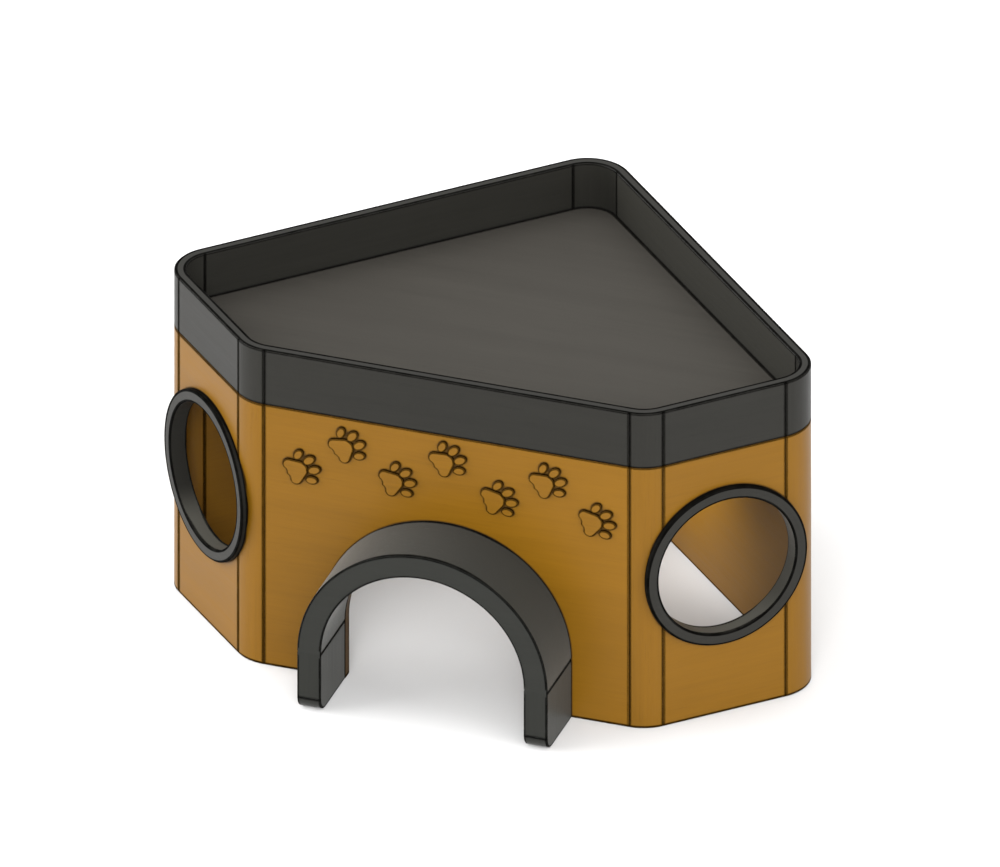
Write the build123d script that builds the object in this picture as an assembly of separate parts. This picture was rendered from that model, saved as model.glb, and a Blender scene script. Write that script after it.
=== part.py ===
from build123d import *
import os
from math import asin, atan2, cos, degrees, pi, radians, sin, sqrt, tan

os.makedirs("parts", exist_ok=True)

# Corner hamster house: five flat wall boards and five rounded corner staves,
# a round window in each side, an arched door with a stub tunnel, and a lift-off
# roof made as a shallow tray. Millimetres, +Z up, door facing -Y.

# ------------------------------------------------------------------ dimensions
BACK_LEG = 200.0  # each back wall, sharp corner to sharp corner
SIDE_LEG = 80.0  # each window wall, sharp corner to sharp corner
CORNER_R = 18.0  # outer radius of every upright corner
WALL_T = 5.0
WALL_H = 120.0
V_OUT = 0.55  # chamfer of the V joint between board and stave, outside
V_IN = 0.35  # and inside
EDGE = 0.4  # chamfer of horizontal wall edges

ROOF_H = 25.0  # rim height over the walls
RIM_T = 5.0
DECK_T = 5.0
TONGUE_T = 3.0  # deck tongue, let into the rim
TONGUE_IN = 3.0  # tongue edge, from the rim's outer face
GLUE_GAP = 0.05  # deck to rim
RIM_EDGE = 0.4  # chamfer of the rim's top arrises

WINDOW_Z = 68.4  # window centre above the floor
RING_RI = 30.5
RING_RO = 35.7
RING_PROUD = 2.5
RING_SPIGOT_R = 33.0  # the part of the ring that goes through the wall
RING_EDGE = 0.35  # chamfer of the ring's front arrises

DOOR_RI = 43.0  # door opening, half width and radius of its round head
DOOR_RO = 53.0
DOOR_SPRING = 27.0  # height where the round head starts
DOOR_DEPTH = 30.0  # how far the tunnel stands out
DOOR_TOE_R = 6.0
TOE_LINE = 0.3  # depth of the scribed line where the toe's round starts
DOOR_EDGE = 0.35
DOOR_V = 0.45  # V joint between the round head and the jambs
DOWEL_R = 2.0
DOWEL_L = 14.0

TENON_W = 5.2  # loose tenon across the joint
TENON_T = 1.6
TENON_H = 15.0
TENON_Y = 1.7  # from the outer face
WALL_TENON_Z = (18.0, 60.0, 104.5)
RIM_TENON_Z = 134.5
RIM_TENON_H = 12.0

CLEAT_W = 6.0
CLEAT_H = 8.0
CLEAT_GAP = 0.6
CLEAT_L_FRONT = 110.0
CLEAT_L_BACK = 120.0

SCREW_R = 1.5
SCREW_HEAD_R = 3.0
SCREW_L = 15.0
SCREW_CLEAR = 0.06
CLEAT_SCREW_R = 1.25
CLEAT_SCREW_HEAD_R = 2.4
CLEAT_SCREW_L = 11.0

PAW_H = 1.2  # how far the paw print pads stand out of the front wall
PAW_SCALE = 1.16

# ------------------------------------------------------------------ plan shape
Q = sqrt(0.5)
HALF_W = BACK_LEG * Q
DEPTH_SHARP = (SIDE_LEG + BACK_LEG) * Q
DEPTH_ROUND = DEPTH_SHARP - CORNER_R * (sqrt(2) - 1)
YF = -(DEPTH_ROUND - DOOR_DEPTH) / 2  # outer face of the front wall; centres the object on Y

SHARP = {
    "FL": (-(HALF_W - SIDE_LEG * Q), YF),
    "FR": (HALF_W - SIDE_LEG * Q, YF),
    "R": (HALF_W, YF + SIDE_LEG * Q),
    "A": (0.0, YF + DEPTH_SHARP),
    "L": (-HALF_W, YF + SIDE_LEG * Q),
}
ORDER = ["FL", "FR", "R", "A", "L"]


def unit(a, b):
    d = (b[0] - a[0], b[1] - a[1])
    n = sqrt(d[0] ** 2 + d[1] ** 2)
    return (d[0] / n, d[1] / n)


def turn_of(name):
    i = ORDER.index(name)
    p, c, n = SHARP[ORDER[i - 1]], SHARP[name], SHARP[ORDER[(i + 1) % 5]]
    u, v = unit(p, c), unit(c, n)
    return atan2(u[0] * v[1] - u[1] * v[0], u[0] * v[0] + u[1] * v[1])


class Wall:
    """One straight side of the plan, from one corner's tangent point to the next."""

    def __init__(self, a, b):
        pa, pb = SHARP[a], SHARP[b]
        self.d = unit(pa, pb)
        self.n = (self.d[1], -self.d[0])
        ta = CORNER_R * tan(turn_of(a) / 2)
        tb = CORNER_R * tan(turn_of(b) / 2)
        self.start = (pa[0] + self.d[0] * ta, pa[1] + self.d[1] * ta)
        self.end = (pb[0] - self.d[0] * tb, pb[1] - self.d[1] * tb)
        self.length = sqrt((self.end[0] - self.start[0]) ** 2 + (self.end[1] - self.start[1]) ** 2)
        self.plane = Plane(origin=(self.start[0], self.start[1], 0), x_dir=(self.d[0], self.d[1], 0), z_dir=(0, 0, 1))

    def place(self, shape):
        """From the wall's own frame (X along it, Y inwards, Z up) to the object's."""
        return shape.moved(self.plane.location)

    def point(self, x, y):
        return (self.start[0] + self.d[0] * x - self.n[0] * y, self.start[1] + self.d[1] * x - self.n[1] * y)


WALLS = {
    "front": Wall("FL", "FR"),
    "right": Wall("FR", "R"),
    "back_right": Wall("R", "A"),
    "back_left": Wall("A", "L"),
    "left": Wall("L", "FL"),
}
CORNERS = {  # corner: (wall before, wall after)
    "FR": ("front", "right"),
    "R": ("right", "back_right"),
    "A": ("back_right", "back_left"),
    "L": ("back_left", "left"),
    "FL": ("left", "front"),
}
CORNER_NAME = {"FR": "front_right", "R": "right", "A": "back", "L": "left", "FL": "front_left"}


def corner_centre(c):
    w = WALLS[CORNERS[c][0]]
    return (w.end[0] - w.n[0] * CORNER_R, w.end[1] - w.n[1] * CORNER_R)


def corner_angles(c):
    w0, w1 = (WALLS[x] for x in CORNERS[c])
    a0 = atan2(w0.n[1], w0.n[0])
    a1 = atan2(w1.n[1], w1.n[0])
    while a1 < a0:
        a1 += 2 * pi
    return a0, a1


def box(x0, x1, y0, y1, z0, z1):
    return Pos((x0 + x1) / 2, (y0 + y1) / 2, (z0 + z1) / 2) * Box(x1 - x0, y1 - y0, z1 - z0)


def cyl_y(x, z, r, y0, y1):
    """Cylinder along Y."""
    return Pos(x, (y0 + y1) / 2, z) * Rot(90, 0, 0) * Cylinder(r, y1 - y0)


def as_solid(s):
    found = s.solids()
    return found[0] if len(found) == 1 else Compound(children=list(found))


def near(a, b, tol=1e-3):
    return abs(a - b) < tol


# ------------------------------------------------------------------ boards and staves
def board(w, z0, z1, t):
    """A straight board with V-joint chamfers at both ends, in the wall's own frame."""
    L = w.length
    pts = [
        (V_OUT, 0), (L - V_OUT, 0), (L, V_OUT), (L, t - V_IN),
        (L - V_IN, t), (V_IN, t), (0, t - V_IN), (0, V_OUT),
    ]
    face = make_face(Polyline(*pts, close=True))
    return extrude(Pos(0, 0, z0) * face, z1 - z0, dir=(0, 0, 1))


def stave(c, z0, z1, t, r=CORNER_R):
    """A rounded corner piece: a sector of a ring, chamfered where it meets the boards."""
    cx, cy = corner_centre(c)
    a0, a1 = corner_angles(c)
    ri = r - t
    do, di = asin(V_OUT / r), asin(V_IN / ri)

    def p(rad, ang):
        return (cx + rad * cos(ang), cy + rad * sin(ang))

    am = (a0 + a1) / 2
    edges = [
        ThreePointArc(p(r, a0 + do), p(r, am), p(r, a1 - do)),
        Line(p(r, a1 - do), p(r - V_OUT, a1)),
        Line(p(r - V_OUT, a1), p(ri + V_IN, a1)),
        Line(p(ri + V_IN, a1), p(ri, a1 - di)),
        ThreePointArc(p(ri, a1 - di), p(ri, am), p(ri, a0 + di)),
        Line(p(ri, a0 + di), p(ri + V_IN, a0)),
        Line(p(ri + V_IN, a0), p(r - V_OUT, a0)),
        Line(p(r - V_OUT, a0), p(r, a0 + do)),
    ]
    return extrude(Pos(0, 0, z0) * make_face(edges), z1 - z0, dir=(0, 0, 1))


def outline(off):
    """The plan outline moved in by off, as a face."""
    edges = []
    names = ["front", "right", "back_right", "back_left", "left"]
    after = {"front": "FR", "right": "R", "back_right": "A", "back_left": "L", "left": "FL"}
    for n in names:
        w = WALLS[n]
        edges.append(Line(w.point(0, off), w.point(w.length, off)))
        c = after[n]
        cx, cy = corner_centre(c)
        a0, a1 = corner_angles(c)
        r = CORNER_R - off
        pts = [(cx + r * cos(a), cy + r * sin(a)) for a in (a0, (a0 + a1) / 2, a1)]
        edges.append(ThreePointArc(*pts))
    return make_face(edges)


def edge_cutter(z, size, up, inner=False, t=WALL_T):
    """Takes a 45 degree chamfer off the outer (or inner) arris of everything at height z."""
    if not inner:
        # a band outside the outline, less the tapered core that stays
        lo, hi = (z - size, z) if up else (z, z + size)
        band = extrude(Pos(0, 0, lo) * outline(-2.0), size, dir=(0, 0, 1))
        if up:
            core = loft([Pos(0, 0, z - size) * outline(0.0), Pos(0, 0, z) * outline(size)])
        else:
            core = loft([Pos(0, 0, z) * outline(size), Pos(0, 0, z + size) * outline(0.0)])
        return band - core
    lo = z - size if up else z
    if up:
        return loft([Pos(0, 0, z - size) * outline(t), Pos(0, 0, z) * outline(t - size)])
    return loft([Pos(0, 0, z) * outline(t - size), Pos(0, 0, z + size) * outline(t)])


wall_top_out = edge_cutter(WALL_H, EDGE, True)
wall_bot_out = edge_cutter(0.0, EDGE, False)
wall_bot_in = edge_cutter(0.0, EDGE, False, inner=True)
wall_top_in = edge_cutter(WALL_H, EDGE, True, inner=True)


def soften_wall(s):
    for cutter in (wall_top_out, wall_bot_out, wall_bot_in, wall_top_in):
        s = s - cutter
    return s


# Loose tenons: (wall, end of that wall, heights)
def tenon_box(w, at_end, z, h):
    x = w.length if at_end else 0.0
    return w.place(box(x - TENON_W / 2, x + TENON_W / 2, TENON_Y, TENON_Y + TENON_T, z - h / 2, z + h / 2))


def wall_tenons():
    found = {}
    for n, w in WALLS.items():
        for at_end in (False, True):
            zs = WALL_TENON_Z
            if n in ("left", "right"):  # the window takes the middle one's place
                zs = (WALL_TENON_Z[0], WALL_TENON_Z[2])
            found[(n, at_end)] = [tenon_box(w, at_end, z, TENON_H) for z in zs]
    return found


def rim_tenons():
    return {
        (n, at_end): [tenon_box(w, at_end, RIM_TENON_Z, RIM_TENON_H)]
        for n, w in WALLS.items()
        for at_end in (False, True)
    }


W_TEN = wall_tenons()
R_TEN = rim_tenons()


def cut_all(s, tools):
    for t in tools:
        s = s - t
    return s


def tenons_of_board(table, n):
    return table[(n, False)] + table[(n, True)]


def tenons_of_corner(table, c):
    before, after = CORNERS[c]
    return table[(before, True)] + table[(after, False)]


# ------------------------------------------------------------------ windows
def window_cut(n):
    """Round hole for a window ring, in the object's frame."""
    w = WALLS[n]
    return w.place(cyl_y(w.length / 2, WINDOW_Z, RING_SPIGOT_R, -10, 20))


def window_ring(n):
    """A flange lying on the wall's face, with a spigot that lines the hole."""
    w = WALLS[n]
    x = w.length / 2
    g = 0.03  # glue line round the spigot
    s = cyl_y(x, WINDOW_Z, RING_RO, -RING_PROUD, 0) + cyl_y(x, WINDOW_Z, RING_SPIGOT_R - g, -RING_PROUD, WALL_T)
    s = s - cyl_y(x, WINDOW_Z, RING_RI, -20, 20)
    ring_edges = [
        e for e in s.edges()
        if e.geom_type == GeomType.CIRCLE and near(e.arc_center.Y, -RING_PROUD)
    ]
    s = chamfer(ring_edges, RING_EDGE)
    inner = [
        e for e in s.edges()
        if e.geom_type == GeomType.CIRCLE and near(e.arc_center.Y, WALL_T) and near(e.radius, RING_RI)
    ]
    s = chamfer(inner, 0.3)
    return w.place(s)


WINDOW_CUT = {n: window_cut(n) for n in ("left", "right")}

# ------------------------------------------------------------------ door
front = WALLS["front"]
XM = front.length / 2  # middle of the front wall in its own frame


def door_hole(r, y0, y1, z0=-10.0):
    """Arched hole, in the front wall's own frame."""
    return cyl_y(XM, DOOR_SPRING, r, y0, y1) + box(XM - r, XM + r, y0, y1, z0, DOOR_SPRING)


SCREW_R_POS = (DOOR_RI + DOOR_RO) / 2
SCREW_SPOTS = [(SCREW_R_POS * cos(radians(a)), DOOR_SPRING + SCREW_R_POS * sin(radians(a))) for a in (30, 90, 150)]
SCREW_SPOTS += [(-SCREW_R_POS, 11.0), (SCREW_R_POS, 11.0)]


def screw_body(r, head_r, length, clear=0.0):
    """A countersunk screw along +Z with its head's flat at Z = 0, pointing up."""
    head_h = head_r - r
    h = revolve(
        make_face(
            Polyline(
                (0, 0), (head_r + clear, 0), (r + clear, head_h), (r + clear, length - 2.2),
                (0.25, length + clear), (0, length + clear), close=True,
            )
        ).moved(Rotation(90, 0, 0)),
        axis=Axis.Z,
    )
    return h


def screw(r, head_r, length):
    s = screw_body(r, head_r, length)
    depth = head_r * 0.42
    arm = head_r * 1.25
    wide = head_r * 0.26
    cross = box(-arm / 2, arm / 2, -wide / 2, wide / 2, -1, depth) + box(-wide / 2, wide / 2, -arm / 2, arm / 2, -1, depth)
    return s - cross


def arch_screw_at(x, z, shape):
    """Head flush with the wall's inside face, point towards the tunnel."""
    return front.place(Pos(XM + x, WALL_T - 0.15, z) * Rot(90, 0, 0) * shape)


def soften(s, edges, size, kind="fillet"):
    """Rounds the edges, all at once if it can, or else those that will go."""
    edges = list(edges)
    if not edges:
        return s
    try:
        return fillet(edges, size) if kind == "fillet" else chamfer(edges, size)
    except Exception as problem:
        print("kept sharp:", len(edges), "edges", problem)
        return s


# ------------------------------------------------------------------ the walls
nodes = {}

arch_screw_holes = [
    arch_screw_at(x, z, screw_body(SCREW_R, SCREW_HEAD_R, SCREW_L, SCREW_CLEAR)) for x, z in SCREW_SPOTS
]
# a countersink cleared to the inside face
countersinks = [
    front.place(cyl_y(XM + x, z, SCREW_HEAD_R + SCREW_CLEAR, WALL_T - 0.15, WALL_T + 1)) for x, z in SCREW_SPOTS
]

front_wall = board(front, 0, WALL_H, WALL_T)
front_wall = front_wall - door_hole(DOOR_RI, -1, WALL_T + 1)
front_wall = front.place(front_wall)
front_wall = soften_wall(cut_all(front_wall, tenons_of_board(W_TEN, "front")))
front_wall = cut_all(front_wall, arch_screw_holes + countersinks)
nodes["front_wall"] = front_wall

for n in ("back_left", "back_right"):
    b = WALLS[n].place(board(WALLS[n], 0, WALL_H, WALL_T))
    nodes[n + "_wall"] = soften_wall(cut_all(b, tenons_of_board(W_TEN, n)))

# The window is wider than the flat board, so boring it leaves an upper and a lower board.
for n in ("left", "right"):
    b = WALLS[n].place(board(WALLS[n], 0, WALL_H, WALL_T))
    b = soften_wall(cut_all(b, tenons_of_board(W_TEN, n))) - WINDOW_CUT[n]
    pieces = sorted(b.solids(), key=lambda s: s.center().Z)
    assert len(pieces) == 2, len(pieces)
    nodes[n + "_wall_lower"] = pieces[0]
    nodes[n + "_wall_upper"] = pieces[1]

for c in CORNERS:
    s = stave(c, 0, WALL_H, WALL_T)
    s = soften_wall(cut_all(s, tenons_of_corner(W_TEN, c)))
    if c in ("FR", "R"):
        s = s - WINDOW_CUT["right"]
    if c in ("FL", "L"):
        s = s - WINDOW_CUT["left"]
    nodes[CORNER_NAME[c] + "_corner_post"] = s

nodes["wall_tenons"] = Compound(children=[as_solid(t) for ts in W_TEN.values() for t in ts])

nodes["left_window_ring"] = window_ring("left")
nodes["right_window_ring"] = window_ring("right")

# ------------------------------------------------------------------ the door tunnel
def crown_profile():
    """Half ring with V-joint chamfers at its four lower corners, in the XY plane."""
    ao, ai = asin(DOOR_V / DOOR_RO), asin(DOOR_V / DOOR_RI)

    def p(r, a):
        return (r * cos(a), r * sin(a))

    return make_face(
        [
            ThreePointArc(p(DOOR_RO, ao), p(DOOR_RO, pi / 2), p(DOOR_RO, pi - ao)),
            Line(p(DOOR_RO, pi - ao), (-DOOR_RO + DOOR_V, 0)),
            Line((-DOOR_RO + DOOR_V, 0), (-DOOR_RI - DOOR_V, 0)),
            Line((-DOOR_RI - DOOR_V, 0), p(DOOR_RI, pi - ai)),
            ThreePointArc(p(DOOR_RI, pi - ai), p(DOOR_RI, pi / 2), p(DOOR_RI, ai)),
            Line(p(DOOR_RI, ai), (DOOR_RI + DOOR_V, 0)),
            Line((DOOR_RI + DOOR_V, 0), (DOOR_RO - DOOR_V, 0)),
            Line((DOOR_RO - DOOR_V, 0), p(DOOR_RO, ao)),
        ]
    )


crown = extrude(crown_profile(), DOOR_DEPTH, dir=(0, 0, 1))
crown = chamfer([e for e in crown.edges() if near(e.center().Z, DOOR_DEPTH) and e.geom_type == GeomType.CIRCLE], DOOR_EDGE)
crown = Pos(XM, 0, DOOR_SPRING) * Rot(90, 0, 0) * crown


def jamb(side):
    x0, x1 = (XM - DOOR_RO, XM - DOOR_RI) if side < 0 else (XM + DOOR_RI, XM + DOOR_RO)
    s = box(x0, x1, -DOOR_DEPTH, 0, 0, DOOR_SPRING)
    toe = [
        e for e in s.edges()
        if near(e.center().Y, -DOOR_DEPTH) and near(e.center().Z, 0)
    ]
    s = fillet(toe, DOOR_TOE_R)
    v = [
        e for e in s.edges()
        if near(e.center().Z, DOOR_SPRING) and abs((e @ 0).Y - (e @ 1).Y) > DOOR_DEPTH - 1
    ]
    s = soften(s, v, DOOR_V, "chamfer")
    # outer upright arrises with the round of the toe
    up = [
        e for e in s.edges()
        if (near(e.center().X, x0) or near(e.center().X, x1)) and e.center().Y < -DOOR_DEPTH + DOOR_TOE_R
        and e.center().Z < DOOR_SPRING - 0.1 and not near(e.center().Z, 0)
        and not near(e.length, DOOR_V * sqrt(2), 0.01)
    ]
    s = soften(s, up, DOOR_EDGE, "chamfer")
    line = Pos(XM, -DOOR_DEPTH, DOOR_TOE_R) * Rot(45, 0, 0) * Box(150, TOE_LINE * sqrt(2), TOE_LINE * sqrt(2))
    return s - line


def dowel(side, r=DOWEL_R - 0.02, extra=0.0):
    x = XM + side * SCREW_R_POS
    return Pos(x, -DOOR_DEPTH / 2, DOOR_SPRING) * Cylinder(r, DOWEL_L + extra)


left_jamb, right_jamb = jamb(-1), jamb(1)
for side in (-1, 1):
    hole = dowel(side, DOWEL_R, 0.4)
    crown = crown - hole
left_jamb = left_jamb - dowel(-1, DOWEL_R, 0.4)
right_jamb = right_jamb - dowel(1, DOWEL_R, 0.4)

nodes["door_arch_crown"] = cut_all(front.place(crown), arch_screw_holes)
nodes["door_left_jamb"] = cut_all(front.place(left_jamb), arch_screw_holes)
nodes["door_right_jamb"] = cut_all(front.place(right_jamb), arch_screw_holes)
pins = []
for side in (-1, 1):
    p = dowel(side)
    p = soften(p, [e for e in p.edges() if e.geom_type == GeomType.CIRCLE], 0.5, "chamfer")
    pins.append(as_solid(front.place(p)))
nodes["door_dowels"] = Compound(children=pins)

one_screw = screw(SCREW_R, SCREW_HEAD_R, SCREW_L)
nodes["door_screws"] = Compound(children=[as_solid(arch_screw_at(x, z, one_screw)) for x, z in SCREW_SPOTS])


# ------------------------------------------------------------------ paw prints over the door
def pad_face():
    """The large pad: three rounded lobes below, a round top."""
    outer = make_hull(
        (Pos(0, 0.7) * Circle(3.3)).edges()
        + (Pos(-3.0, -2.0) * Circle(2.2)).edges()
        + (Pos(3.0, -2.0) * Circle(2.2)).edges()
    )
    bite_l = Pos(-1.45, -5.5) * Circle(1.75)
    bite_r = Pos(1.45, -5.5) * Circle(1.75)
    return outer - bite_l - bite_r


def paw_faces():
    faces = [pad_face()]
    for x, y, a, rx, ry in (
        (-2.35, 6.9, 8, 1.7, 2.5), (2.35, 6.9, -8, 1.7, 2.5),
        (-6.1, 3.7, 27, 1.6, 2.3), (6.1, 3.7, -27, 1.6, 2.3),
    ):
        faces.append(Pos(x, y) * Rot(0, 0, a) * Ellipse(rx, ry))
    return faces


# a trail across the band between the door and the roof: x, z, turn in degrees
PAWS = [
    (-63.0, 93.0, -62), (-43.5, 106.5, -50), (-22.5, 95.0, -66), (-1.0, 108.0, -54),
    (20.5, 94.5, -70), (41.5, 106.0, -56), (62.0, 92.0, -72),
]


def paw_solids(x, z, a):
    out = []
    for f in paw_faces():
        f = scale(f, by=PAW_SCALE)
        solid = extrude(f, PAW_H, dir=(0, 0, 1))
        top = [e for e in solid.edges() if near(e.center().Z, PAW_H, 0.02)]
        solid = soften(solid, top, 0.3, "chamfer")
        # drawn flat with +Z towards the viewer: stand it up against the wall
        solid = Pos(XM + x, 0, z) * Rot(90, 0, 0) * Rot(0, 0, a) * solid
        out.append(as_solid(front.place(solid)))
    return out


paw_pads = [s for p in PAWS for s in paw_solids(*p)]
nodes["paw_print_trim"] = Compound(children=paw_pads)

# ------------------------------------------------------------------ the roof tray
Z0, Z1 = WALL_H, WALL_H + ROOF_H
rim_top_out = edge_cutter(Z1, RIM_EDGE, True)
rim_bot_out = edge_cutter(Z0, EDGE, False)
rim_top_in = edge_cutter(Z1, RIM_EDGE, True, inner=True, t=RIM_T)
rabbet_core = extrude(Pos(0, 0, Z0 - 1) * outline(TONGUE_IN), TONGUE_T + 1, dir=(0, 0, 1))


def finish_rim(s, tens):
    s = cut_all(s, tens)
    for cutter in (rim_top_out, rim_bot_out, rim_top_in, rabbet_core):
        s = s - cutter
    return s


for n in WALLS:
    b = WALLS[n].place(board(WALLS[n], Z0, Z1, RIM_T))
    nodes["rim_" + n + "_rail"] = finish_rim(b, tenons_of_board(R_TEN, n))
for c in CORNERS:
    s = stave(c, Z0, Z1, RIM_T)
    nodes["rim_" + CORNER_NAME[c] + "_corner"] = finish_rim(s, tenons_of_corner(R_TEN, c))
nodes["rim_tenons"] = Compound(children=[as_solid(t) for ts in R_TEN.values() for t in ts])

deck = extrude(Pos(0, 0, Z0) * outline(RIM_T + GLUE_GAP), DECK_T, dir=(0, 0, 1))
deck = deck + extrude(Pos(0, 0, Z0) * outline(TONGUE_IN + GLUE_GAP), TONGUE_T, dir=(0, 0, 1))

# Cleats under the deck drop inside the walls and keep the roof from sliding off.
cleat_screws = []


def cleat(n, length):
    w = WALLS[n]
    x0, x1 = w.length / 2 - length / 2, w.length / 2 + length / 2
    y0, y1 = WALL_T + CLEAT_GAP, WALL_T + CLEAT_GAP + CLEAT_W
    s = box(x0, x1, y0, y1, Z0 - CLEAT_H, Z0)
    lead = [e for e in s.edges() if near(e.center().Z, Z0 - CLEAT_H) and near(e.center().Y, y0)]
    s = chamfer(lead, 1.5)
    ends = [
        e for e in s.edges()
        if near(e.center().Z, Z0 - CLEAT_H) and (near(e.center().X, x0) or near(e.center().X, x1))
    ]
    s = soften(s, ends, 1.2, "chamfer")
    ym = (y0 + y1) / 2 + 0.4
    holes = []
    for x in (x0 + 15, x1 - 15):
        holes.append(Pos(x, ym, Z0 - CLEAT_H + 0.1) * screw_body(CLEAT_SCREW_R, CLEAT_SCREW_HEAD_R, CLEAT_SCREW_L, SCREW_CLEAR))
        holes.append(Pos(x, ym, Z0 - CLEAT_H - 0.4) * Cylinder(CLEAT_SCREW_HEAD_R + SCREW_CLEAR, 1.0))
        one = Pos(x, ym, Z0 - CLEAT_H + 0.1) * screw(CLEAT_SCREW_R, CLEAT_SCREW_HEAD_R, CLEAT_SCREW_L)
        cleat_screws.append(as_solid(w.place(one)))
    s = cut_all(s, holes)
    return w.place(s), [w.place(h) for h in holes]


for n, length in (("front", CLEAT_L_FRONT), ("back_left", CLEAT_L_BACK), ("back_right", CLEAT_L_BACK)):
    made, holes = cleat(n, length)
    nodes["roof_cleat_" + n] = made
    deck = cut_all(deck, holes)
nodes["roof_deck"] = deck
nodes["roof_cleat_screws"] = Compound(children=cleat_screws)

# ------------------------------------------------------------------ write
for name, shape in nodes.items():
    solids = shape.solids()
    out = solids[0] if len(solids) == 1 else Compound(children=list(solids))
    out.label = name
    export_step(out, f"parts/{name}.step")
print(len(nodes), "nodes,", sum(len(s.solids()) for s in nodes.values()), "solids")
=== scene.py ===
from math import cos, radians, sin, sqrt

import bmesh
import bpy
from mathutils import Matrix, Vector

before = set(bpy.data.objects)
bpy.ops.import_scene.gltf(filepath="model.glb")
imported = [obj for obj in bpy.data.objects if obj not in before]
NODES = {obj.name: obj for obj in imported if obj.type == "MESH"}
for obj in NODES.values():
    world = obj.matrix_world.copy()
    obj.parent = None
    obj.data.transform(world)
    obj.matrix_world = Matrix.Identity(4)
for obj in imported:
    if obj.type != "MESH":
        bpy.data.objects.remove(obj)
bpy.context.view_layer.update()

scene = bpy.context.scene
scene.view_settings.view_transform = "Standard"
scene.view_settings.look = "None"
scene.view_settings.exposure = 0.0
scene.view_settings.gamma = 1.0

MM = 0.001

# ---------------------------------------------------------------- camera
# A parallel view from the front right and above.
PHI, ELEV, PX_PER_MM = radians(19.086), radians(29.804), 2.4966
FRONT_Y = -80.267 * MM  # outer face of the front wall
right = Vector((cos(PHI), sin(PHI), 0))
up = Vector((-sin(PHI) * sin(ELEV), cos(PHI) * sin(ELEV), cos(ELEV)))
back = Vector((sin(PHI) * cos(ELEV), -cos(PHI) * cos(ELEV), sin(ELEV)))
aim = Vector((0, FRONT_Y, 0)) + right * ((499.5 - 446.01) / PX_PER_MM * MM) + up * ((695.52 - 433.0) / PX_PER_MM * MM)
cam_data = bpy.data.cameras.new("cam")
cam_data.type = "ORTHO"
cam_data.ortho_scale = 1000 / PX_PER_MM * MM
cam_data.clip_start = 0.05
cam_data.clip_end = 20
cam = bpy.data.objects.new("cam", cam_data)
scene.collection.objects.link(cam)
cam.location = aim + back * 1.6
cam.rotation_mode = "QUATERNION"
cam.rotation_quaternion = (-back).to_track_quat("-Z", "Y")
# to_track_quat keeps the camera upright, because its up is taken towards +Z
scene.camera = cam


# ---------------------------------------------------------------- node helpers
class Tree:
    """A material's node tree, with short names for the nodes used here."""

    def __init__(self, name):
        self.mat = bpy.data.materials.new(name)
        self.mat.use_nodes = True
        self.nt = self.mat.node_tree
        self.nt.nodes.clear()

    def node(self, kind, **values):
        n = self.nt.nodes.new(kind)
        for k, v in values.items():
            setattr(n, k, v)
        return n

    def link(self, a, b):
        self.nt.links.new(a, b)

    def put(self, socket, value):
        if isinstance(value, bpy.types.NodeSocket):
            self.link(value, socket)
        else:
            socket.default_value = value

    def math(self, op, a, b=0.0, clamp=False):
        n = self.node("ShaderNodeMath", operation=op, use_clamp=clamp)
        self.put(n.inputs[0], a)
        self.put(n.inputs[1], b)
        return n.outputs[0]

    def vmath(self, op, a, b=(0, 0, 0)):
        n = self.node("ShaderNodeVectorMath", operation=op)
        self.put(n.inputs[0], a)
        self.put(n.inputs[1], b)
        return n.outputs["Value"] if op == "DOT_PRODUCT" else n.outputs["Vector"]

    def ramp(self, value, lo, hi, out_lo=0.0, out_hi=1.0, smooth=True):
        n = self.node("ShaderNodeMapRange", clamp=True)
        n.interpolation_type = "SMOOTHSTEP" if smooth else "LINEAR"
        self.put(n.inputs["Value"], value)
        n.inputs["From Min"].default_value = lo
        n.inputs["From Max"].default_value = hi
        n.inputs["To Min"].default_value = out_lo
        n.inputs["To Max"].default_value = out_hi
        return n.outputs["Result"]

    def mix(self, fac, a, b, blend="MIX"):
        n = self.node("ShaderNodeMix", data_type="RGBA", blend_type=blend)
        self.put(n.inputs["Factor"], fac)
        self.put(n.inputs["A"], a)
        self.put(n.inputs["B"], b)
        return n.outputs["Result"]

    def noise(self, vector, scale=1.0, detail=2.0, rough=0.5, distort=0.0):
        n = self.node("ShaderNodeTexNoise")
        self.put(n.inputs["Vector"], vector)
        n.inputs["Scale"].default_value = scale
        n.inputs["Detail"].default_value = detail
        n.inputs["Roughness"].default_value = rough
        n.inputs["Distortion"].default_value = distort
        return n.outputs["Fac"]

    def mapping(self, vector, loc=(0, 0, 0), rot=(0, 0, 0), scale=(1, 1, 1)):
        n = self.node("ShaderNodeMapping")
        self.put(n.inputs["Vector"], vector)
        n.inputs["Location"].default_value = loc
        n.inputs["Rotation"].default_value = rot
        n.inputs["Scale"].default_value = scale
        return n.outputs["Vector"]

    def object_coords(self):
        return self.node("ShaderNodeTexCoord").outputs["Object"]

    def painted_shade(self, distance, lo=0.12, hi=0.38, samples=8):
        """Painted shade: 1 down in grooves and where pieces meet, as ambient occlusion finds them, 0 in the open."""
        a = self.node("ShaderNodeAmbientOcclusion", samples=samples, inside=False, only_local=False)
        a.inputs["Distance"].default_value = distance
        return self.ramp(self.math("SUBTRACT", 1.0, a.outputs["AO"]), lo, hi)

    def edge(self, reach, lo=0.04, hi=0.14, samples=8, top=1.0):
        """1 on the arrises, 0 on the flats. On level faces it reaches top times as far."""
        a = self.node("ShaderNodeAmbientOcclusion", samples=samples, inside=True, only_local=True)
        if top == 1.0:
            a.inputs["Distance"].default_value = reach
        else:
            n = self.node("ShaderNodeNewGeometry").outputs["Normal"]
            level = self.vmath("DOT_PRODUCT", n, (0, 0, 1))
            self.link(self.ramp(level, 0.80, 0.95, reach, reach * top), a.inputs["Distance"])
        return self.ramp(self.math("SUBTRACT", 1.0, a.outputs["AO"]), lo, hi)


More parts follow.
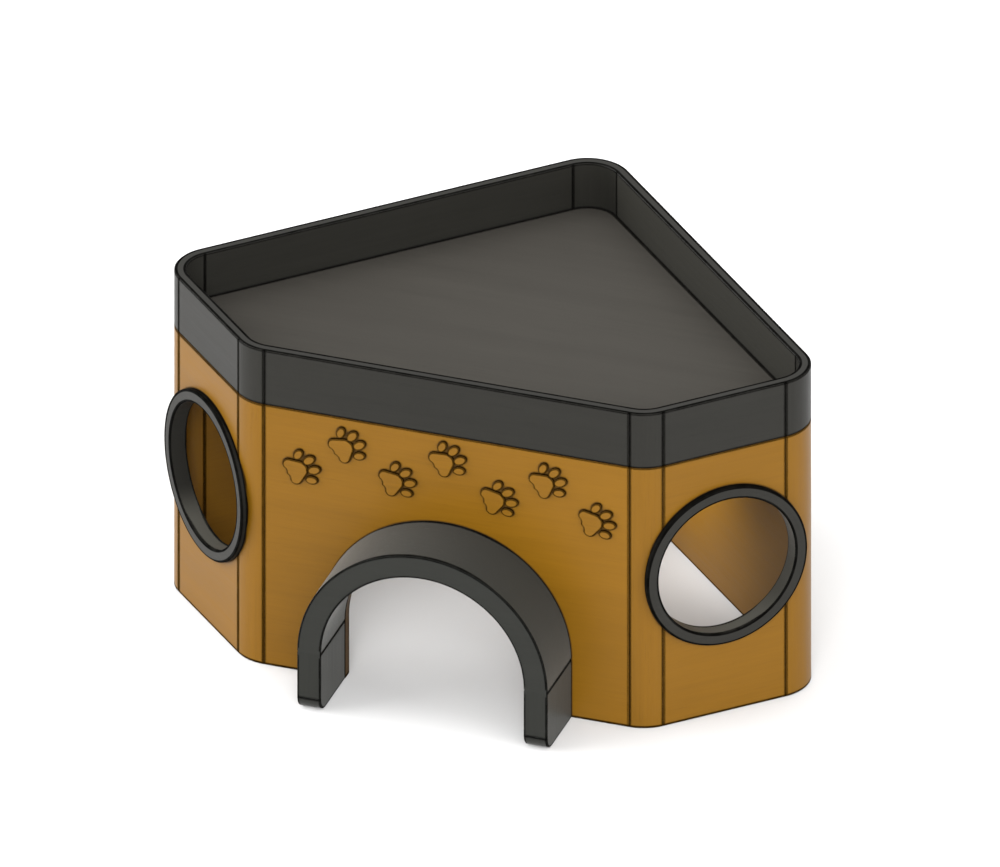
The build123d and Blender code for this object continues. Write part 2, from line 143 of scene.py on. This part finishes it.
def scaled(c, k):
    return (*(min(1.0, v * k) for v in c[:3]), 1.0)


# ---------------------------------------------------------------- plan of the walls, in metres
CORNER_R, RIM_T = 18 * MM, 5 * MM
_q = sqrt(0.5)
_front = -(280 * _q - 18 * (sqrt(2) - 1) - 30) / 2 * MM
SHARP = {
    "FL": (-120 * _q * MM, _front), "FR": (120 * _q * MM, _front), "R": (200 * _q * MM, _front + 80 * _q * MM),
    "A": (0.0, _front + 280 * _q * MM), "L": (-200 * _q * MM, _front + 80 * _q * MM),
}
SIDES = {"front": ("FL", "FR"), "right": ("FR", "R"), "back_right": ("R", "A"), "back_left": ("A", "L"), "left": ("L", "FL")}
ENDS_AT = {"front_right": ("front", "right"), "right": ("right", "back_right"), "back": ("back_right", "back_left"),
           "left": ("back_left", "left"), "front_left": ("left", "front")}


def side_normal(name):
    (x0, y0), (x1, y1) = (SHARP[c] for c in SIDES[name])
    d = Vector((x1 - x0, y1 - y0)).normalized()
    return Vector((d.y, -d.x))


def stave_centre(name):
    """Centre of a rounded corner: CORNER_R in from both walls."""
    a, b = (side_normal(w) for w in ENDS_AT[name])
    c = Vector(SHARP[SIDES[ENDS_AT[name][0]][1]])
    return c - (a + b) * (CORNER_R / (1 + a.dot(b)))


def depth_in(t, co, node):
    """How far a point of a rim piece lies in from the outer face."""
    part = node.replace("rim_", "")
    flat = t.vmath("MULTIPLY", co, (1, 1, 0))
    if part.endswith("_rail"):
        name = part[: -len("_rail")]
        n = side_normal(name)
        at = Vector(SHARP[SIDES[name][0]]).dot(n)
        return t.math("SUBTRACT", at, t.vmath("DOT_PRODUCT", flat, (n.x, n.y, 0)))
    c = stave_centre(part[: -len("_corner")])
    off = t.vmath("SUBTRACT", flat, (c.x, c.y, 0))
    return t.math("SUBTRACT", CORNER_R, t.math("SQRT", t.vmath("DOT_PRODUCT", off, off)))


RING_RI, RING_RO = 30.5 * MM, 35.7 * MM


def ring_marks(t, co, node):
    """Of a window ring: the stained lines and edge band, the bore where light is painted in, and how low down in it a
    point lies.
    """
    n = side_normal("left" if node.startswith("left") else "right")
    v = [x.co for x in NODES[node].data.vertices]
    c = Vector([(min(p[k] for p in v) + max(p[k] for p in v)) / 2 for k in range(3)])
    off = t.vmath("SUBTRACT", co, c)
    along = t.vmath("DOT_PRODUCT", off, (-n.y, n.x, 0))
    high = t.vmath("DOT_PRODUCT", off, (0, 0, 1))
    r = t.math("SQRT", t.math("ADD", t.math("MULTIPLY", along, along), t.math("MULTIPLY", high, high)))
    normal = t.node("ShaderNodeNewGeometry").outputs["Normal"]
    facing = t.vmath("DOT_PRODUCT", normal, (n.x, n.y, 0))
    front = t.ramp(facing, 0.60, 0.90)
    # at the two sides of the left ring the stain has crept further in
    side = t.math("DIVIDE", along, r)
    side = t.math("MULTIPLY", side, side)
    creep = 1.0 * MM if node.startswith("left") else 0.0
    outer = t.ramp(t.math("ADD", r, t.math("MULTIPLY", side, 0.6 * creep)), RING_RO - 1.00 * MM, RING_RO - 0.80 * MM)
    inner = t.ramp(t.math("SUBTRACT", r, t.math("MULTIPLY", side, 0.2 * creep)), RING_RI + 0.80 * MM, RING_RI + 1.00 * MM, 1.0, 0.0)
    lines = t.math("MULTIPLY", t.ramp(facing, 0.30, 0.60), t.math("MAXIMUM", outer, inner))
    band = t.math("MULTIPLY", t.math("SUBTRACT", 1.0, front), t.ramp(r, RING_RO - 0.50 * MM, RING_RO - 0.40 * MM))
    # painted light: the bore is lightened, most of all at its foot, where little lamp light reaches it
    bore = t.math("MULTIPLY", t.math("SUBTRACT", 1.0, front), t.ramp(r, RING_RI + 0.05 * MM, RING_RI + 0.15 * MM, 1.0, 0.0))
    low = t.ramp(t.math("DIVIDE", high, r), -0.95, -0.55, 1.0, 0.0)
    return lines, band, bore, low


def wood(name, base, grain, seed, contrast=1.0, rough=0.42, bump=0.25, line=0.95, edge_r=0.85, painted_shade_k=0.8,
         sides_dark=None, ior=1.26, sheen=0.0, pore=1.0, top=2.0, flush=None, rim=None, ring=None, bore_light_k=(1.0, 1.0),
         band_k=0.8, inner_light_k=1.0, cut=None, lift=False, foot=False, edge_lo=0.04, edge_hi=0.14):
    """Stained timber. grain is the direction the fibres run in: an angle in plan in degrees, or "up"."""
    t = Tree(name)
    co = t.object_coords()
    rot = (0, radians(90), 0) if grain == "up" else (0, 0, -radians(grain))
    g = t.mapping(co, rot=rot)
    # a slow wander, so that the fibres aren't ruled lines
    wander = t.noise(t.mapping(g, loc=(seed * 3.1, seed * 1.7, seed * 0.9), scale=(9, 22, 22)), 1, 2)
    shift = t.node("ShaderNodeCombineXYZ")
    w = t.math("MULTIPLY", t.math("SUBTRACT", wander, 0.5), 0.006)
    t.link(w, shift.inputs[1])
    t.link(w, shift.inputs[2])
    v = t.vmath("ADD", g, shift.outputs[0])
    v = t.vmath("ADD", v, (seed * 0.37, seed * 0.73, seed * 0.51))
    bands = t.noise(t.mapping(v, scale=(5, 95, 95)), 1, 2, 0.5)
    lines = t.noise(t.mapping(v, scale=(22, 760, 760)), 1, 3, 0.6)
    fine = t.noise(t.mapping(v, scale=(60, 2300, 2300)), 1, 2, 0.6)
    blotch = t.noise(t.mapping(co, loc=(seed, -seed, seed)), 26, 3, 0.55)
    pores = t.ramp(fine, 0.60, 0.74)

    tone = t.math("MULTIPLY", t.math("SUBTRACT", bands, 0.5), 0.34 * contrast)
    tone = t.math("ADD", tone, t.math("MULTIPLY", t.math("SUBTRACT", lines, 0.5), 0.42 * contrast))
    tone = t.math("ADD", tone, t.math("MULTIPLY", t.math("SUBTRACT", blotch, 0.5), 0.16 * contrast))
    tone = t.math("ADD", tone, 0.5)
    col = t.mix(tone, scaled(base, 0.62), scaled(base, 1.38))
    col = t.mix(t.math("MULTIPLY", pores, 0.30 * contrast * pore), col, scaled(base, 0.45))
    if lift:
        # painted light: the board is lightened towards its right end and foot, where the arch shades it from the left
        # sun
        xyz = t.node("ShaderNodeSeparateXYZ")
        t.link(co, xyz.inputs[0])
        to_right = t.ramp(xyz.outputs[0], -0.005, 0.080)
        low_right = t.math("MULTIPLY", t.ramp(xyz.outputs[2], 0.0, 0.060, 1.0, 0.0), t.ramp(xyz.outputs[0], 0.030, 0.055))
        k = t.math("ADD", t.math("MULTIPLY", to_right, 0.10), t.math("MULTIPLY", low_right, 0.09))
        col = t.mix(k, col, scaled(base, 2.0))
    if cut is not None:
        # sawn edges and end grain take up more stain than the faces
        n = t.node("ShaderNodeNewGeometry").outputs["Normal"]
        facing = t.math("ABSOLUTE", t.vmath("DOT_PRODUCT", n, cut))
        sawn = t.ramp(facing, 0.25, 0.55, 0.85, 0.0)
        col = t.mix(sawn, col, scaled(base, 0.20))
    if rim is not None and inner_light_k != 1.0:
        # painted light: the tray's inner face is made lighter here, as if lit from the left
        d = depth_in(t, co, rim)
        col = t.mix(t.ramp(d, RIM_T - 0.25 * MM, RIM_T - 0.10 * MM), col, scaled(base, inner_light_k))
    # stain gathers along the arrises, unevenly
    patchy = t.ramp(t.noise(t.mapping(co, loc=(0, seed * 1.9, 0)), 210, 3, 0.6), 0.3, 0.7, 0.88, 1.0)
    e = t.edge(edge_r * MM, lo=edge_lo, hi=edge_hi, top=top)
    if ring is not None:
        # lines along the arrises of the face, a dark edge, and painted light in the bore, most of all at its foot
        lined, band, bore, low = ring_marks(t, co, ring)
        e = t.math("MAXIMUM", e, t.math("MAXIMUM", lined, t.math("MULTIPLY", band, band_k)))
        col = t.mix(bore, col, t.mix(low, scaled(base, bore_light_k[0]), scaled(base, bore_light_k[1])))
    if rim is not None:
        # the rim's level top is lined along its two long arrises, straight over the joints
        n = t.node("ShaderNodeNewGeometry").outputs["Normal"]
        level = t.ramp(t.vmath("DOT_PRODUCT", n, (0, 0, 1)), 0.93, 0.98)
        off = t.math("ABSOLUTE", t.math("SUBTRACT", depth_in(t, co, rim), RIM_T / 2))
        lined = t.ramp(off, 0.00100, 0.00125)
        e = t.math("ADD", t.math("MULTIPLY", e, t.math("SUBTRACT", 1.0, level)), t.math("MULTIPLY", lined, level))
    if foot:
        # a dark line along the foot of the board, in its lowest 1.4 mm
        xyz = t.node("ShaderNodeSeparateXYZ")
        t.link(co, xyz.inputs[0])
        e = t.math("MAXIMUM", e, t.ramp(xyz.outputs[2], 0.0010, 0.0014, 1.0, 0.0))
    e = t.math("MULTIPLY", e, patchy)
    # painted shade: darker down in grooves and where pieces meet, found by ambient occlusion
    c = t.painted_shade(1.1 * MM)
    if flush is not None:
        # a glued joint sanded flush on the face towards the door: no line across it
        z = t.node("ShaderNodeSeparateXYZ")
        t.link(co, z.inputs[0])
        near = t.ramp(t.math("ABSOLUTE", t.math("SUBTRACT", z.outputs[2], flush * MM)), 0.0012, 0.0020, 1.0, 0.0)
        n = t.node("ShaderNodeNewGeometry").outputs["Normal"]
        out_face = t.ramp(t.vmath("DOT_PRODUCT", n, (0, -1, 0)), 0.90, 0.98)
        open_face = t.math("SUBTRACT", 1.0, t.math("MULTIPLY", near, out_face))
        e = t.math("MULTIPLY", e, open_face)
        c = t.math("MULTIPLY", c, open_face)
    if sides_dark is not None:
        n = t.node("ShaderNodeNewGeometry").outputs["Normal"]
        facing = t.math("ABSOLUTE", t.vmath("DOT_PRODUCT", n, sides_dark))
        e = t.math("MAXIMUM", e, t.ramp(facing, 0.45, 0.95, 1.0, 0.0))
    # painted shade in the grooves and joints, then the stained lines along the arrises
    col = t.mix(t.math("MULTIPLY", c, painted_shade_k), col, scaled(base, 0.12))
    col = t.mix(t.math("MULTIPLY", e, line), col, scaled(base, 0.05))
    height = t.math("ADD", t.math("MULTIPLY", lines, 0.5), t.math("MULTIPLY", pores, -0.6))
    height = t.math("ADD", height, t.math("MULTIPLY", bands, 0.25))
    bm = t.node("ShaderNodeBump")
    bm.inputs["Strength"].default_value = bump
    bm.inputs["Distance"].default_value = 0.00012
    t.link(height, bm.inputs["Height"])
    r = t.math("ADD", t.math("MULTIPLY", t.math("SUBTRACT", lines, 0.5), 0.16), rough)
    r = t.math("ADD", r, t.math("MULTIPLY", t.math("MAXIMUM", e, c), 0.30))
    r = t.math("ADD", r, t.math("MULTIPLY", t.math("SUBTRACT", blotch, 0.5), 0.10), clamp=True)
    p = t.node("ShaderNodeBsdfPrincipled")
    t.link(col, p.inputs["Base Color"])
    t.link(r, p.inputs["Roughness"])
    t.link(bm.outputs["Normal"], p.inputs["Normal"])
    # the dark stain along an arris is dull: it soaks in and takes no polish
    dull = t.math("SUBTRACT", 1.0, t.math("MULTIPLY", e if cut is None else t.math("MAXIMUM", e, sawn), 0.97))
    t.link(t.math("MULTIPLY", dull, 0.5), p.inputs["Specular IOR Level"])
    p.inputs["IOR"].default_value = ior
    if sheen:
        t.link(t.math("MULTIPLY", dull, sheen), p.inputs["Sheen Weight"])
        p.inputs["Sheen Roughness"].default_value = 0.42
        p.inputs["Sheen Tint"].default_value = (1.0, 1.0, 0.96, 1)
    out = t.node("ShaderNodeOutputMaterial")
    t.link(p.outputs[0], out.inputs["Surface"])
    return t.mat


def steel(name):
    t = Tree(name)
    co = t.object_coords()
    n1 = t.noise(t.mapping(co, scale=(900, 900, 900)), 1, 3)
    n2 = t.noise(co, 220, 3)
    col = t.mix(n1, (0.42, 0.42, 0.44, 1), (0.66, 0.66, 0.68, 1))
    p = t.node("ShaderNodeBsdfPrincipled")
    t.link(col, p.inputs["Base Color"])
    p.inputs["Metallic"].default_value = 1.0
    t.link(t.ramp(n2, 0.3, 0.7, 0.28, 0.45), p.inputs["Roughness"])
    bm = t.node("ShaderNodeBump")
    bm.inputs["Strength"].default_value = 0.15
    bm.inputs["Distance"].default_value = 0.00005
    t.link(n1, bm.inputs["Height"])
    t.link(bm.outputs["Normal"], p.inputs["Normal"])
    out = t.node("ShaderNodeOutputMaterial")
    t.link(p.outputs[0], out.inputs["Surface"])
    return t.mat


# ---------------------------------------------------------------- finishes
AMBER = (0.150, 0.068, 0.0030, 1)
CHARCOAL = (0.0158, 0.0152, 0.0129, 1)
DOOR = (0.0166, 0.0171, 0.0149, 1)
# painted light: the deck's charcoal is made several times lighter than the rim's, to stand in for light from above
DECK_PAINTED_LIT = (0.0393, 0.0365, 0.0316, 1)
BEECH = (0.56, 0.39, 0.22, 1)

GRAIN = {  # plan direction of each straight board, in degrees
    "front": 0.0, "right": 45.0, "back_right": 135.0, "back_left": -135.0, "left": -45.0,
}
plan = {
    "front_wall": "front", "left_wall_lower": "left", "left_wall_upper": "left",
    "right_wall_lower": "right", "right_wall_upper": "right",
    "back_left_wall": "back_left", "back_right_wall": "back_right",
    "rim_front_rail": "front", "rim_left_rail": "left", "rim_right_rail": "right",
    "rim_back_left_rail": "back_left", "rim_back_right_rail": "back_right",
    "roof_cleat_front": "front", "roof_cleat_back_left": "back_left", "roof_cleat_back_right": "back_right",
}
dark_nodes = {n for n in NODES if n.startswith("rim_") and n != "rim_tenons"} | {"roof_deck"} | {n for n in NODES if n.startswith("roof_cleat") and n != "roof_cleat_screws"}
dark_nodes |= {"door_arch_crown", "door_left_jamb", "door_right_jamb", "left_window_ring", "right_window_ring"}


def finish_for(node, seed):
    if node in ("door_screws", "roof_cleat_screws"):
        return steel("zinc_" + node)
    if node in ("wall_tenons", "rim_tenons", "door_dowels"):
        return wood("beech_" + node, BEECH, "up", seed, line=0.3, painted_shade_k=0.3, rough=0.6)
    if node == "paw_print_trim":
        return wood("amber_" + node, AMBER, 0.0, seed, contrast=0.9, line=0.97, edge_r=0.7, sides_dark=(0, 1, 0))
    grain = GRAIN[plan[node]] if node in plan else "up"
    if node in ("roof_deck", "door_arch_crown", "left_window_ring", "right_window_ring"):
        grain = {"left_window_ring": -45.0, "right_window_ring": 45.0}.get(node, 0.0)
    if node == "roof_deck":
        return wood("charcoal_" + node, DECK_PAINTED_LIT, grain, seed, contrast=0.75, rough=0.45, bump=0.30, ior=1.12)
    if node in dark_nodes:
        if node.startswith("door_"):
            return wood("charcoal_" + node, DOOR, grain, seed, contrast=0.75, rough=0.42, bump=0.30,
                        sheen=0.17 if node == "door_arch_crown" else 0.10,
                        ior=1.18, flush=27.0, edge_r=1.0, edge_lo=0.03, edge_hi=0.11)
        if node.endswith("_window_ring"):
            left = node.startswith("left")
            return wood("charcoal_" + node, CHARCOAL, grain, seed, contrast=0.75, rough=0.40, bump=0.30, ior=1.24, ring=node,
                        bore_light_k=(1.0, 4.0) if left else (3.2, 5.0), band_k=0.55 if left else 0.9)
        rim = node if node.startswith("rim_") else None
        return wood("charcoal_" + node, CHARCOAL, grain, seed, contrast=0.75, rough=0.40, bump=0.30, ior=1.235, rim=rim,
                    inner_light_k=1.6 if "back_right" in node else 1.0)
    reach = {"left_wall_lower": 1.5, "left_wall_upper": 1.5, "left_corner_post": 1.3, "front_left_corner_post": 1.1}
    return wood("amber_" + node, AMBER, grain, seed, contrast=0.75, rough=0.40, bump=0.22, edge_r=reach.get(node, 0.85),
                cut=(0, 1, 0) if node == "front_wall" else None, lift=node == "front_wall", foot=True)


for i, (name, obj) in enumerate(sorted(NODES.items())):
    mat = finish_for(name, 1.0 + i * 1.37)
    obj.data.materials.clear()
    obj.data.materials.append(mat)

# ---------------------------------------------------------------- floor
bm = bmesh.new()
bmesh.ops.create_grid(bm, x_segments=8, y_segments=8, size=4.0)
floor_mesh = bpy.data.meshes.new("floor")
bm.to_mesh(floor_mesh)
bm.free()
floor = bpy.data.objects.new("floor", floor_mesh)
scene.collection.objects.link(floor)
floor.location.z = -0.00005
t = Tree("floor_paper")
n = t.noise(t.object_coords(), 3.0, 3)
col = t.mix(n, (0.64, 0.64, 0.64, 1), (0.67, 0.67, 0.67, 1))
p = t.node("ShaderNodeBsdfPrincipled")
t.link(col, p.inputs["Base Color"])
p.inputs["Roughness"].default_value = 0.9
p.inputs["Specular IOR Level"].default_value = 0.1
out = t.node("ShaderNodeOutputMaterial")
t.link(p.outputs[0], out.inputs["Surface"])
floor_mesh.materials.append(t.mat)

# ---------------------------------------------------------------- light
world = bpy.data.worlds.new("studio")
scene.world = world
world.use_nodes = True
wn = world.node_tree
wn.nodes.clear()
wt = wn.nodes.new("ShaderNodeTexCoord")


def lobe(direction, lo, hi, amount):
    """Extra sky brightness round a direction, as a soft box gives."""
    d = wn.nodes.new("ShaderNodeVectorMath")
    d.operation = "DOT_PRODUCT"
    wn.links.new(wt.outputs["Generated"], d.inputs[0])
    d.inputs[1].default_value = Vector(direction).normalized()
    r = wn.nodes.new("ShaderNodeMapRange")
    r.interpolation_type = "SMOOTHSTEP"
    wn.links.new(d.outputs["Value"], r.inputs["Value"])
    r.inputs["From Min"].default_value = lo
    r.inputs["From Max"].default_value = hi
    r.inputs["To Min"].default_value = 0.0
    r.inputs["To Max"].default_value = amount
    return r.outputs["Result"]


sky = None
for part in (lobe((-0.25, 0.82, 0.50), 0.2, 0.85, 0.25), lobe((-0.80, -0.45, 0.25), 0.3, 0.9, 0.5)):
    if sky is None:
        sky = part
    else:
        add = wn.nodes.new("ShaderNodeMath")
        wn.links.new(sky, add.inputs[0])
        wn.links.new(part, add.inputs[1])
        sky = add.outputs[0]
total = wn.nodes.new("ShaderNodeMath")
wn.links.new(sky, total.inputs[0])
total.inputs[1].default_value = 0.55
bg = wn.nodes.new("ShaderNodeBackground")
bg.inputs["Color"].default_value = (1.0, 1.0, 1.0, 1)
wn.links.new(total.outputs[0], bg.inputs["Strength"])
wo = wn.nodes.new("ShaderNodeOutputWorld")
wn.links.new(bg.outputs[0], wo.inputs["Surface"])


def sun(name, azimuth, elevation, strength, angle, color=(1, 1, 1)):
    """azimuth 0 shines from the front, positive from the right."""
    d = bpy.data.lights.new(name, "SUN")
    d.energy = strength
    d.angle = radians(angle)
    d.color = color
    o = bpy.data.objects.new(name, d)
    scene.collection.objects.link(o)
    a, e = radians(azimuth), radians(elevation)
    towards = Vector((sin(a) * cos(e), -cos(a) * cos(e), sin(e)))
    o.rotation_mode = "QUATERNION"
    o.rotation_quaternion = (-towards).to_track_quat("-Z", "Y")
    o.location = towards * 3
    return o


sun("key", 15, 33, 2.05, 25)
sun("left", -75, 22, 3.95, 60)
sun("right", 60, 22, 2.7, 60)
sun("top", 180, 78, 1.4, 60)


def panel(name, at, to, size, power, spread):
    """A small soft box."""
    d = bpy.data.lights.new(name, "AREA")
    d.shape = "DISK"
    d.size = size
    d.energy = power
    d.spread = radians(spread)
    o = bpy.data.objects.new(name, d)
    scene.collection.objects.link(o)
    a, b = Vector(at) * MM, Vector(to) * MM
    o.location = a
    o.rotation_mode = "QUATERNION"
    o.rotation_quaternion = (b - a).to_track_quat("-Z", "Y")
    o.visible_camera = False
    o.visible_glossy = False
    return o


# a little light inside, so that the room behind the openings can be seen
panel("inside_wall", (-30, 5, 90), (54, 56, 52), 0.03, 0.050, 60)
panel("inside_floor", (-5, 10, 108), (-5, 10, 0), 0.10, 0.0445, 135)
